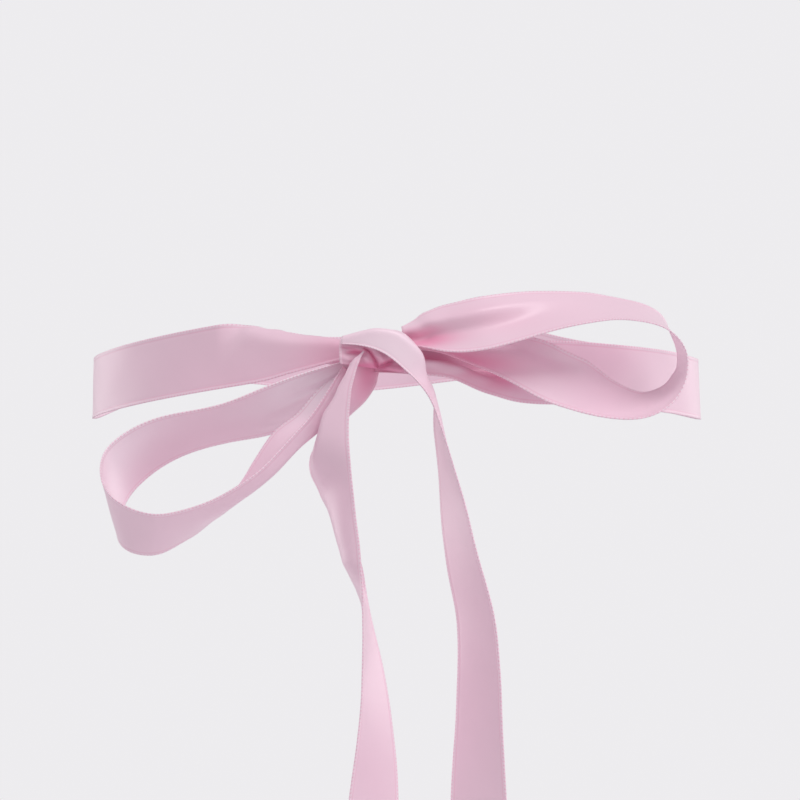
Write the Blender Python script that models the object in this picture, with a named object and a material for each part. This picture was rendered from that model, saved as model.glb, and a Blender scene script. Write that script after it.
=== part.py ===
"""Bridal sash: one length of 25 mm satin ribbon, wound round a waist and tied in a bow.

Each stretch of the ribbon that shows is one object. A stretch is a table with a row for each
section: where its leading edge is, which way the ribbon runs across from that edge, and the
lengthwise folds that it meets on the way. X is to the right, Y away from the bow, Z up, and the
origin is the middle of the waist that the sash goes round.
"""

from collections import namedtuple
from math import asin, atan2, cos, degrees, radians, sin

import bmesh
import bpy
import numpy as np

MM = 0.001

# Driving dimensions, in millimetres.
RIBBON_WIDTH = 25.0
WALL = 1.0
WAIST_HALF_WIDTH = 126.7
WAIST_HALF_DEPTH = 91.0

FOLD_RADIUS = 2.2
# Half the length over which the way along the ribbon is measured.
PROBE = 2.0
# How far across the ribbon, as a share of its width, its path is measured.
PATH_SHARE = 0.25
# The least sine of the angle between the path and the way across that the width still allows for.
LEAST_SLANT = 0.75

# The satin: its colour and how much it shines.
SATIN_COLOUR = (0.80, 0.55, 0.66, 1.0)
SATIN_ROUGHNESS = 0.38

# A section of ribbon. x, y, z: the leading edge, in mm. turn: the way across, in degrees clockwise
# from straight up as seen from the bow's side. back: how far that way leans back. Then up to
# two lengthwise folds, each at so many mm from the leading edge and of so many degrees, an even
# curl over the whole width, and the width, which is less where the ribbon is gathered into the
# knot. Folds and curls turn by the right-hand rule about the way along.
Section = namedtuple(
    "Section",
    "x y z turn back fold_at fold fold2_at fold2 curl width",
    defaults=(8.0, 0.0, 16.0, 0.0, 0.0, RIBBON_WIDTH),
)

# The waist stretches: a row for each angle from the left side, towards the bow, with the height of the
# lower edge there and how many degrees the top leans in.
WaistRow = namedtuple("WaistRow", "angle low lean")

WAIST_LEFT = (
    WaistRow(0, -19.3, 1.5),
    WaistRow(4, -19.3, 1.5),
    WaistRow(15, -17.8, 1.5),
    WaistRow(30, -14.6, 1),
    WaistRow(45, -10.6, 0.5),
    WaistRow(56, -7.4, 0),
)
WAIST_RIGHT = (
    WaistRow(180, -19.6, 3),
    WaistRow(176, -19.6, 3),
    WaistRow(165, -19.0, 2.5),
    WaistRow(150, -16.8, 2),
    WaistRow(135, -14.9, 1),
    WaistRow(120, -13.3, 0),
)
WAIST_FAR = (
    WaistRow(359.8, -19.3, 1.5),
    WaistRow(356, -19.3, 1.5),
    WaistRow(345, -17.0, 1.5),
    WaistRow(330, -11.5, 2),
    WaistRow(315, -6.3, 2),
    WaistRow(300, -4.4, 2),
    WaistRow(290, -7.2, 2),
    WaistRow(282, -8.2, 2),
    WaistRow(275, -7.2, 2),
    WaistRow(268, -5.6, 2.5),
    WaistRow(260, -3.4, 2.5),
    WaistRow(250, -2.2, 2.5),
    WaistRow(240, -6.5, 2.5),
    WaistRow(225, -12.0, 3),
    WaistRow(210, -15.5, 3),
    WaistRow(195, -18.4, 3),
    WaistRow(184, -19.6, 3),
    WaistRow(180.2, -19.6, 3),
)

# From the waist to the knot. The left stretch rolls its top back, the right one its low part forward.
BAND_LEFT_TO_KNOT = (
    Section(-57.7, -81.7, -5.3, 0, 0, 18.0, -20, 21.0, -50),
    Section(-49.1, -85.5, -3.6, 0, 0, 15.0, -35, 20.0, -80),
    Section(-41.6, -88.9, -1.4, 0, 0, 12.0, -45, 16.8, -95),
    Section(-34.1, -92.2, 0.5, 0, 0, 10.0, -50, 14.6, -105),
    Section(-26.7, -95.5, 2.5, 0, 0, 7.8, -55, 11.5, -110, 0, 22),
    Section(-19.0, -99.0, 4.6, 0, 0, 5.0, -60, 8.6, -110, 0, 17),
)
BAND_RIGHT_TO_KNOT = (
    Section(51.8, -86.0, -12.9, 0, 0),
    Section(45.7, -88.6, -12.1, 0, 0, 5.0, 10, 12.0, -10),
    Section(39.5, -91.3, -10.4, 0, 5, 6.0, 50, 13.0, -50),
    Section(30.5, -95.3, -7.4, 0, 10, 6.5, 85, 13.0, -85, 0, 23),
    Section(20.8, -99.3, -3.3, 0, 10, 6.5, 110, 12.0, -100, 0, 21),
    Section(12.0, -101.8, -2.1, 0, 10, 6.5, 120, 11.5, -100, 0, 19),
    Section(4.0, -103.2, -1.5, 0, 8, 6.0, 120, 10.5, -100, 0, 14),
    Section(-3.0, -104.4, -1.1, 0, 5, 5.0, 115, 9.5, -90, 0, 9),
    Section(-8.5, -105.0, -0.9, 0, 5, 4.0, 110, 7.5, -80, 0, 6),
)

LOOP_RIGHT = (
    Section(2.8, -107.2, 9.3, -12, 78, 4.0, 105, 8.0, -95, 0, 13),
    Section(8.1, -109.0, 8.9, -12, 72, 5.0, 100, 10.0, -98, 0, 16.5),
    Section(16.4, -112.5, 7.3, -12, 50, 8.5, 88, 14.0, -100, 0, 20.5),
    Section(22.8, -115.0, 6.7, -8, 40, 10.0, 60, 15.0, -74, 0, 23.3),
    Section(34.0, -117.5, 7.7, -4, 37, 11.0, 50, 16.5, -62),
    Section(46.5, -118.0, 10.8, -2, 45, 11.5, 34, 17.0, -42),
    Section(59.3, -117.0, 14.7, -2, 54, 12.0, 10, 18.0, -14),
    Section(70.9, -115.0, 17.4, 1, 61.5),
    Section(80.4, -112.0, 18.9, 8, 68.5),
    Section(89.0, -108.5, 19.1, 32, 72),
    Section(99.5, -103.0, 17.2, 52, 78),
    Section(107.2, -99.0, 12.9, 30, 87),
    Section(111.4, -97.5, 6.3, -65, 87),
    Section(111.9, -97.5, 1.9, -81, 86),
    Section(111.0, -98.5, -4.0, -45, 82),
    Section(107.3, -100.0, -11.0, -20, 77),
    Section(96.8, -104.0, -17.7, 9, 70),
    Section(85.1, -106.5, -18.7, 28, 62),
    Section(74.4, -108.0, -17.2, 35, 52),
    Section(65.6, -108.5, -14.8, 36, 41),
    Section(56.0, -108.5, -11.5, 36, 32, 12.0, 8, 20.0, -25),
    Section(48.1, -107.5, -7.3, 38, 29, 12.0, 20, 19.0, -50),
    Section(39.4, -106.5, -2.6, 36, 30, 11.0, 30, 18.0, -60, 0, 24),
    Section(30.0, -105.5, 1.6, 30, 35, 9.0, 45, 15.0, -80, 0, 21),
    Section(19.2, -104.0, 6.0, 20, 45, 7.0, 60, 12.0, -90, 0, 17),
    Section(10.0, -103.0, 7.8, 10, 60, 6.0, 60, 10.0, -60, 0, 13),
    Section(3.0, -102.2, 8.0, 5, 65, 6.0, 60, 10.0, -60, 0, 11),
)

LOOP_LEFT = (
    Section(-17.0, -103.9, 4.8, 150, 5, 7.0, 0, 15.0, 0, 0, 6),
    Section(-20.5, -103.6, 3.2, 158, 22, 7.0, 0, 15.0, 0, 0, 10),
    Section(-26.6, -103.6, 1.5, 163, 38, 8.0, 0, 15.0, 0, 0, 18),
    Section(-33.8, -104.0, -0.6, 165, 44, 8.0, 0, 15.0, 0, 0, 22),
    Section(-48.3, -105.5, -5.8, 168, 44),
    Section(-65.1, -105.5, -12.6, 168, 53),
    Section(-78.1, -105.0, -15.7, 171, 53),
    Section(-91.9, -104.0, -18.5, 162, 47),
    Section(-105.3, -105.0, -25.1, 157, 40),
    Section(-109.9, -107.5, -29.4, 158, 37),
    Section(-111.8, -112.0, -34.5, 163, 33),
    Section(-111.0, -119.0, -41.5, 168, 32),
    Section(-107.3, -125.5, -47.1, 170, 36),
    Section(-99.5, -130.0, -51.8, 172, 43),
    Section(-90.0, -132.4, -54.1, 174, 52, 10.0, 0, 16.0, 0, 10),
    Section(-81.6, -132.0, -53.1, 166, 63, 10.0, 0, 16.0, 0, 28),
    Section(-69.4, -129.5, -49.1, 157, 66, 9.5, 16, 16.0, 0, 43),
    Section(-59.6, -126.5, -43.6, 147, 58, 8.3, 48, 16.0, 0, 26),
    Section(-50.5, -122.5, -37.0, 138, 49, 7.3, 72, 16.0, 0, 8),
    Section(-40.0, -116.0, -25.8, 132, 43, 7.6, 94),
    Section(-32.8, -111.5, -17.5, 128, 36, 8.5, 107, 16, 0, 0, 23.5),
    Section(-27.1, -108.8, -9.1, 124, 28, 7.0, 116, 16, 0, 0, 19),
    Section(-22.4, -107.8, -1.6, 122, 15, 5.0, 120, 16, 0, 0, 12.5),
    Section(-20.4, -107.6, 1.6, 122, 12, 5.0, 100, 16, 0, 0, 8),
)

TAIL_LEFT = (
    Section(-11.6, -113.4, 7.4, 305, 0, 4.0, 138, 16.0, 0, 0, 1.4),
    Section(-14.1, -113.8, 3.8, 292, 0, 4.0, 138, 16.0, 0, 0, 2.6),
    Section(-15.2, -114.1, 1.6, 276, 2, 4.2, 138, 16.0, 0, 0, 3.3),
    Section(-15.7, -114.3, -0.3, 270, 3, 4.5, 138, 16.0, 0, 0, 3.6),
    Section(-16.0, -114.5, -1.4, 268, 4, 4.8, 138, 16.0, 0, 0, 4.5),
    Section(-16.3, -114.7, -3.0, 267, 5, 5.0, 138, 16.0, 0, 0, 9),
    Section(-16.7, -114.9, -5.0, 267, 7, 5.2, 138, 16.0, 0, 0, 18),
    Section(-17.4, -115.7, -10.4, 268, 10, 7.0, 134, 16.0, 0, 0, 22.5),
    Section(-17.9, -116.5, -17.0, 270, 11, 10.5, 124, 16.0, 0, 0, 24.5),
    Section(-18.0, -117.3, -25.1, 270, 14, 12.5, 104),
    Section(-17.8, -117.7, -29.3, 269, 20, 14.3, 84),
    Section(-17.5, -118.0, -33.5, 268, 29, 16.5, 58),
    Section(-16.8, -118.4, -41.7, 267, 49, 18.5, 12, 16.0, 0, 15),
    Section(-16.0, -119.0, -49.5, 267, 60, 12.0, 0, 16.0, 0, 50),
    Section(-15.2, -119.8, -57.0, 265, 68, 12.0, 0, 16.0, 0, 85),
    Section(-14.1, -120.7, -64.2, 262, 76, 12.0, 0, 16.0, 0, 115),
    Section(-13.4, -121.5, -71.3, 250, 87, 12.0, 0, 16.0, 0, 138),
    Section(-13.0, -122.0, -77.2, 95, 89.5, 12.0, 0, 16.0, 0, 102),
    Section(-12.6, -122.3, -84.0, 94, 88.3, 12.0, 0, 16.0, 0, 52),
    Section(-12.6, -122.6, -90.8, 93, 85.6, 12.0, 0, 16.0, 0, 20),
    Section(-12.6, -123.0, -101.5, 92, 80.3, 12.0, 0, 16.0, 0, 16),
    Section(-12.9, -124.0, -115.3, 95, 71, 12.0, 0, 16.0, 0, 10),
    Section(-14.4, -126.0, -137.2, 98, 58),
    Section(-17.8, -127.0, -161.0, 98, 42),
    Section(-22.0, -128.0, -200.0, 93, 30),
    Section(-24.0, -128.0, -260.0, 90, 25),
    Section(-22.0, -127.0, -330.0, 88, 35),
    Section(-20.0, -126.0, -420.0, 90, 40),
)

TAIL_RIGHT = (
    Section(-21.1, -113.2, 9.7, 2, 5, 2.6, -80, 16.0, 0, 0, 8),
    Section(-15.5, -114.8, 9.3, 8, 0, 4.5, -82, 16.0, 0, 0, 12),
    Section(-9.6, -116.2, 8.1, 18, 0, 7.5, -90, 16.0, 0, 0, 16),
    Section(-2.9, -117.0, 4.9, 32, 0, 9.4, -85, 16.0, 0, 0, 16.5),
    Section(3.1, -117.0, -0.1, 41, 10, 9.2, -80, 16.0, 0, 0, 14),
    Section(8.5, -117.0, -5.3, 48, 58, 7.0, -25, 16.0, 0, -10, 13.5),
    Section(13.1, -118.0, -11.9, 50, 83, 8.0, 0, 16.0, 0, -30, 17),
    Section(15.4, -118.5, -17.4, -60, 87, 8.0, 0, 16.0, 0, -40, 21),
    Section(18.2, -119.5, -25.6, -92, 82, 12.0, 0, 16.0, 0, -30),
    Section(21.6, -120.5, -37.0, -98, 77, 12.0, 0, 16.0, 0, -15),
    Section(27.4, -123.0, -57.3, -103, 66),
    Section(31.3, -124.5, -72.6, -103, 61),
    Section(36.1, -126.0, -90.1, -100, 57),
    Section(38.3, -127.0, -107.6, -95, 53),
    Section(39.6, -128.0, -131.4, -94, 47),
    Section(41.0, -129.0, -160.8, -94, 35),
    Section(43.0, -129.0, -200.0, -94, 28),
    Section(44.0, -128.0, -270.0, -91, 28),
    Section(41.0, -127.0, -350.0, -90, 38),
    Section(42.0, -126.0, -440.0, -90, 35),
)

# The wrap runs from the back of the knot over its top and down its face; its leading edge is its left one.
KNOT_WRAP = (
    Section(-20.5, -101.4, 6.4, 92, 0, 8, 0, 16, 0, 0, 23.2),
    Section(-20.8, -101.0, 8.4, 88, 0, 8, 0, 16, 0, 0, 23.2),
    Section(-21.2, -102.2, 10.2, 86, 0, 8, 0, 16, 0, 0, 23.2),
    Section(-21.6, -108.3, 10.3, 85, -2, 8, 0, 16, 0, 0, 23.4),
    Section(-21.8, -110.8, 8.5, 87, -2, 8, 0, 16, 0, 0, 23.6),
    Section(-21.8, -111.4, 5.9, 90, -1, 8, 0, 16, 0, 0, 23.8),
    Section(-21.7, -111.3, 4.2, 94, 0, 8, 0, 16, 0, 0, 24.0),
    Section(-21.6, -111.1, 2.8, 97, 0, 8, 0, 16, 0, 0, 24.0),
)


def waist_section(row):
    """The section of a waist stretch at a row's angle, standing on the waist's ellipse."""
    angle, lean = radians(row.angle), radians(row.lean)
    turn = degrees(atan2(sin(lean) * cos(angle), cos(lean)))
    back = degrees(asin(sin(lean) * sin(angle)))
    return Section(
        -WAIST_HALF_WIDTH * cos(angle), -WAIST_HALF_DEPTH * sin(angle), row.low, turn, back
    )


def cubic_spline(values, knots, places):
    """Values between the knots on a natural cubic spline through them."""
    count = len(knots)
    gap = np.diff(knots)
    slope = np.diff(values, axis=0) / gap[:, None]
    system = np.eye(count)
    pull = np.zeros_like(values)
    for i in range(1, count - 1):
        system[i, i - 1 : i + 2] = gap[i - 1], 2 * (gap[i - 1] + gap[i]), gap[i]
        pull[i] = 6 * (slope[i] - slope[i - 1])
    bend = np.linalg.solve(system, pull)
    i = np.clip(np.searchsorted(knots, places, side="right") - 1, 0, count - 2)
    h = gap[i][:, None]
    a = (knots[i + 1] - places)[:, None] / h
    b = 1 - a
    line = a * values[i] + b * values[i + 1]
    return line + ((a**3 - a) * bend[i] + (b**3 - b) * bend[i + 1]) * h * h / 6


def eased(values, knots, places):
    """Values between the knots, with no overshoot: level where a column turns back or stays."""
    gap = np.diff(knots)[:, None]
    slope = np.diff(values, axis=0) / gap
    product = slope[1:] * slope[:-1]
    total = slope[1:] + slope[:-1]
    rate = np.zeros_like(values)
    rate[1:-1] = np.where(product > 0, 2 * product / np.where(product > 0, total, 1), 0)
    rate[0], rate[-1] = slope[0], slope[-1]
    i = np.clip(np.searchsorted(knots, places, side="right") - 1, 0, len(knots) - 2)
    h = gap[i]
    t = (places[:, None] - knots[i][:, None]) / h
    start = (1 + 2 * t) * (1 - t) ** 2 * values[i] + t * (1 - t) ** 2 * h * rate[i]
    return start + t * t * (3 - 2 * t) * values[i + 1] + t * t * (t - 1) * h * rate[i + 1]


def unit(vectors):
    """The vectors at a length of one."""
    return vectors / np.linalg.norm(vectors, axis=-1, keepdims=True)


def ribbon_surface(sections, step_along, steps_across):
    """Points of the ribbon's middle surface, [along][across], in mm."""
    edge = np.array([s[:3] for s in sections], float)
    turn, back = np.radians([s[3:5] for s in sections]).T
    across = np.stack([np.sin(turn) * np.cos(back), np.sin(back), np.cos(turn) * np.cos(back)], -1)
    folds = np.array([s[5:] for s in sections], float)
    reach = np.linalg.norm(np.diff(edge, axis=0), axis=1)
    swing = np.linalg.norm(np.diff(across, axis=0), axis=1) * RIBBON_WIDTH
    knots = np.concatenate([[0], np.cumsum(reach + 0.5 * swing)])
    places = np.linspace(0, knots[-1], int(np.ceil(knots[-1] / step_along)) + 1)
    inner = edge + PATH_SHARE * RIBBON_WIDTH * across
    ahead = cubic_spline(inner, knots, np.minimum(places + PROBE, knots[-1]))
    behind = cubic_spline(inner, knots, np.maximum(places - PROBE, 0))
    along = unit(ahead - behind)
    edge = cubic_spline(edge, knots, places)
    across = unit(cubic_spline(across, knots, places))
    normal = np.cross(along, across)
    # A way across that slants to the path is longer, so that the ribbon keeps its width.
    slant = np.linalg.norm(normal, axis=1, keepdims=True)
    across = across / np.clip(slant, LEAST_SLANT, 1)
    normal = normal / slant
    folds = eased(folds, knots, places)
    width = folds[:, 5:6]
    share = np.linspace(0, 1, steps_across + 1)
    bend = np.radians(folds[:, 4:5]) * (share - 0.5)
    for at, fold in ((folds[:, 0:1], folds[:, 1:2]), (folds[:, 2:3], folds[:, 3:4])):
        done = np.clip((share * width - at) / (2 * FOLD_RADIUS) + 0.5, 0, 1)
        bend = bend + np.radians(fold) * done * done * (3 - 2 * done)
    middle = 0.5 * (bend[:, 1:] + bend[:, :-1])
    step = width / steps_across
    start = np.zeros((len(places), 1))
    right = np.hstack([start, np.cumsum(np.cos(middle) * step, axis=1)])[..., None]
    lift = np.hstack([start, np.cumsum(np.sin(middle) * step, axis=1)])[..., None]
    return edge[:, None] + right * across[:, None] + lift * normal[:, None]


def waist(rows):
    """Sections on the waist's ellipse for a table of rows."""
    return [waist_section(row) for row in rows]


# A stretch of the sash: its sections, and how finely it is divided along and across.
Stretch = namedtuple("Stretch", "sections step_along steps_across")

STRETCHES = {
    "band_left": Stretch(waist(WAIST_LEFT) + list(BAND_LEFT_TO_KNOT), 7.0, 10),
    "band_right": Stretch(waist(WAIST_RIGHT) + list(BAND_RIGHT_TO_KNOT), 7.0, 11),
    "band_far": Stretch(waist(WAIST_FAR), 11.0, 2),
    "loop_left": Stretch(LOOP_LEFT, 7.0, 10),
    "loop_right": Stretch(LOOP_RIGHT, 7.5, 11),
    "tail_left": Stretch(TAIL_LEFT, 9.0, 7),
    "tail_right": Stretch(TAIL_RIGHT, 11.0, 7),
    "knot_wrap": Stretch(KNOT_WRAP, 3.0, 3),
}


def satin(name):
    """The satin of one stretch."""
    material = bpy.data.materials.new(name)
    material.use_nodes = True
    shader = material.node_tree.nodes["Principled BSDF"]
    shader.inputs["Base Color"].default_value = SATIN_COLOUR
    shader.inputs["Roughness"].default_value = SATIN_ROUGHNESS
    return material


def add_stretch(name, stretch):
    """One stretch of the ribbon as an object: a closed wall of an even thickness."""
    points = ribbon_surface(*stretch)
    rows, columns = points.shape[:2]
    form = bmesh.new()
    bmesh.ops.create_grid(form, x_segments=columns - 1, y_segments=rows - 1, size=1.0)
    for vertex, point in zip(form.verts, points.reshape(-1, 3)):
        vertex.co = point * MM
    mesh = bpy.data.meshes.new(name)
    form.to_mesh(mesh)
    form.free()
    mesh.materials.append(satin(name + "_satin"))
    piece = bpy.data.objects.new(name, mesh)
    bpy.context.scene.collection.objects.link(piece)
    wall = piece.modifiers.new("wall", "SOLIDIFY")
    wall.thickness = WALL * MM
    wall.offset = 0.0
    wall.use_even_offset = True
    return piece


def main():
    """Clears the file and makes every stretch of the sash."""
    for item in list(bpy.data.objects):
        bpy.data.objects.remove(item, do_unlink=True)
    for name, stretch in STRETCHES.items():
        add_stretch(name, stretch)


if __name__ == "__main__":
    main()
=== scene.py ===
"""Bridal sash: pale pink satin ribbon, wound round a waist and tied in a bow.

Every stretch of the ribbon is a thin woven sheet with selvedges. It lies on the form of its solid in
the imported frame. Lengths are in millimetres up to the mesh, which is in metres. X is to the right,
Y away from the bow and Z up, and the origin is the middle of the waist.
"""

from __future__ import annotations

import logging
import math
from dataclasses import dataclass, field
from enum import Enum

import bmesh
import bpy
import numpy as np
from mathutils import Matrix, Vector


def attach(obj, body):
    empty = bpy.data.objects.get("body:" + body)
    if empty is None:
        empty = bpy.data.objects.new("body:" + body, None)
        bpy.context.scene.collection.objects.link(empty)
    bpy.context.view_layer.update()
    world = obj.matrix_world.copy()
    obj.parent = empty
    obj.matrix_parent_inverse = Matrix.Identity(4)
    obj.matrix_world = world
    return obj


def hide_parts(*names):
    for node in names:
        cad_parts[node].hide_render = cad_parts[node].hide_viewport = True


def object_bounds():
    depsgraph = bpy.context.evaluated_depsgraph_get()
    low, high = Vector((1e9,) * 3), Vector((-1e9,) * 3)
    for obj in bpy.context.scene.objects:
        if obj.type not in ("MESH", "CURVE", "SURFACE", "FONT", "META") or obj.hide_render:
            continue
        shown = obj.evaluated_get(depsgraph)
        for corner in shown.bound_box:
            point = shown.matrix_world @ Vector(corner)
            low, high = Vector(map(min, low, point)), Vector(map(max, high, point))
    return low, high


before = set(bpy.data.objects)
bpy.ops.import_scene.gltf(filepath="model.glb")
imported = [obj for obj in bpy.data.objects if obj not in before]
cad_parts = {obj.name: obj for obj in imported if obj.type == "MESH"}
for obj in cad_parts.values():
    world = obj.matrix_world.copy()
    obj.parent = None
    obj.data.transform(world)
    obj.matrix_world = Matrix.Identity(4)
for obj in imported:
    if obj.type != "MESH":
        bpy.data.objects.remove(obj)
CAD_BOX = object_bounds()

LOG = logging.getLogger("sash")
MM = 0.001
RIBBON_WIDTH = 25.0
WEAVE_MAP = "weave"
PAINTED_SHADE = "painted_shade"
TROUGH_PAINTED_SHADE = 0.42  # painted shade: how much deeper the pink is painted for each mm of trough
HANG_WAVES = (61.0, 37.0, 23.0)  # lengths of the hang's uneven waves, in mm
FULL_WAVE = 120.0  # the length of wave at which the ripple would have its whole height
WAVE_LEAN = 1.2  # how far a wave may lean along the ribbon, for each mm across


class Held(Enum):
    """How a stretch of cloth is held."""

    STRETCHED = "stretched"
    HUNG = "hung"
    GATHERED = "gathered"


@dataclass(frozen=True)
class Section:
    """One section of ribbon.

    x, y and z are the leading edge. turn is the way across, in degrees clockwise from straight up as
    seen from the bow's side, and back how far it leans back. Two lengthwise folds, an even curl over
    the width, and the width itself, less where the ribbon is gathered, make the section's shape. Where
    shown is less than the width, the rest of the cloth is tucked in behind.
    """

    x: float
    y: float
    z: float
    turn: float
    back: float
    fold_at: float = 8.0
    fold: float = 0.0
    fold2_at: float = 16.0
    fold2: float = 0.0
    curl: float = 0.0
    width: float = RIBBON_WIDTH
    shown: float = 40.0


@dataclass(frozen=True)
class Crease:
    """A soft ridge or trough on a ribbon, from one place to another, each (along, across) in mm.

    It dies away over its spread on each side, and keeps end_share of its height at its ends. The lower
    its fullness, the longer it keeps its whole height between them.
    """

    start: tuple[float, float]
    end: tuple[float, float]
    height: float
    spread: float = 2.0
    end_share: float = 0.35
    fullness: float = 0.7

    def relief(self, along: np.ndarray, across: np.ndarray) -> np.ndarray:
        """The height that the crease adds.

        Args:
            along: places along the ribbon, in mm.
            across: places across the ribbon, in mm.

        Returns:
            Heights in mm, of the arrays' common shape.
        """
        run = (self.end[0] - self.start[0], self.end[1] - self.start[1])
        length2 = run[0] ** 2 + run[1] ** 2
        share = ((along - self.start[0]) * run[0] + (across - self.start[1]) * run[1]) / length2
        near = np.clip(share, 0, 1)
        off = np.hypot(along - self.start[0] - near * run[0], across - self.start[1] - near * run[1])
        fade = self.end_share + (1 - self.end_share) * np.sin(math.pi * near) ** self.fullness
        return self.height * fade * np.exp(-((off / self.spread) ** 2))


@dataclass(frozen=True)
class PaintedShading:
    """Painted shade round a point: deeper pink where folds face each other and shade one another, dying
    away over its reach each way.

    Below zero it is painted light instead: paler, as where light would come through a single layer.
    """

    heart: tuple[float, float, float]
    reach: tuple[float, float, float]
    depth: float = 1.0

    def shade(self, points: np.ndarray) -> np.ndarray:
        """How much painted shade each point gets; below zero it is painted light."""
        off = np.linalg.norm((points - np.array(self.heart)) / np.array(self.reach), axis=-1)
        return self.depth * np.exp(-(off**2))


def unit(vectors: np.ndarray) -> np.ndarray:
    """The vectors at a length of one."""
    return vectors / np.linalg.norm(vectors, axis=-1, keepdims=True)


def cubic_spline(values: np.ndarray, knots: np.ndarray, places: np.ndarray) -> np.ndarray:
    """Values on a natural cubic spline.

    Args:
        values: a row for each knot.
        knots: the knots' places, rising.
        places: where values are wanted.

    Returns:
        A row for each place.
    """
    count = len(knots)
    gap = np.diff(knots)
    slope = np.diff(values, axis=0) / gap[:, None]
    system = np.eye(count)
    pull = np.zeros_like(values)
    for i in range(1, count - 1):
        system[i, i - 1 : i + 2] = gap[i - 1], 2 * (gap[i - 1] + gap[i]), gap[i]
        pull[i] = 6 * (slope[i] - slope[i - 1])
    bend = np.linalg.solve(system, pull)
    i = np.clip(np.searchsorted(knots, places, side="right") - 1, 0, count - 2)
    h = gap[i][:, None]
    a = (knots[i + 1] - places)[:, None] / h
    b = 1 - a
    line = a * values[i] + b * values[i + 1]
    return line + ((a**3 - a) * bend[i] + (b**3 - b) * bend[i + 1]) * h * h / 6


def eased(values: np.ndarray, knots: np.ndarray, places: np.ndarray) -> np.ndarray:
    """Values on a curve with no overshoot.

    Args:
        values: a row for each knot.
        knots: the knots' places, rising.
        places: where values are wanted.

    Returns:
        A row for each place.
    """
    gap = np.diff(knots)[:, None]
    slope = np.diff(values, axis=0) / gap
    product = slope[1:] * slope[:-1]
    total = slope[1:] + slope[:-1]
    rate = np.zeros_like(values)
    rate[1:-1] = np.where(product > 0, 2 * product / np.where(product > 0, total, 1), 0)
    rate[0], rate[-1] = slope[0], slope[-1]
    i = np.clip(np.searchsorted(knots, places, side="right") - 1, 0, len(knots) - 2)
    h = gap[i]
    t = (places[:, None] - knots[i][:, None]) / h
    start = (1 + 2 * t) * (1 - t) ** 2 * values[i] + t * (1 - t) ** 2 * h * rate[i]
    return start + t * t * (3 - 2 * t) * values[i + 1] + t * t * (t - 1) * h * rate[i + 1]


@dataclass(frozen=True)
class Weave:
    """The ribbon's cloth: its wall, its selvedges and how finely it is drawn, in mm.

    The wall is full at the bead on each edge, groove_wall of that in the groove beside it, and
    body_rise of the way back up between the grooves. fold_reach is how far a fold spreads on each side
    of its line, and tuck how much of the cloth past a section's shown width is drawn in. The ribbon's
    heading is read over heading_reach each way, on a line heading_line of the way across. Where the
    sections stand aslant to it they are widened, but never past what least_square allows.
    """

    wall: float = 0.5
    groove_wall: float = 0.403
    body_rise: float = 0.35
    bead: float = 0.9
    groove: tuple[float, float] = (1.3, 1.7)
    selvedge: tuple[float, ...] = (0.0, 0.35, 0.75, 1.15, 1.55, 2.1)
    step_across: float = 0.95
    step_along: float = 1.1
    fold_reach: float = 1.9
    tuck: float = 0.95
    heading_reach: float = 2.0
    heading_line: float = 0.25
    least_square: float = 0.75

    def shares(self) -> np.ndarray:
        """Where the columns stand across the ribbon, from 0 to 1, closer together at its edges."""
        edge = np.array(self.selvedge)
        inner = RIBBON_WIDTH - 2 * edge[-1]
        count = int(round(inner / self.step_across))
        middle = edge[-1] + inner * np.arange(1, count) / count
        return np.concatenate([edge, middle, RIBBON_WIDTH - edge[::-1]]) / RIBBON_WIDTH


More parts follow.
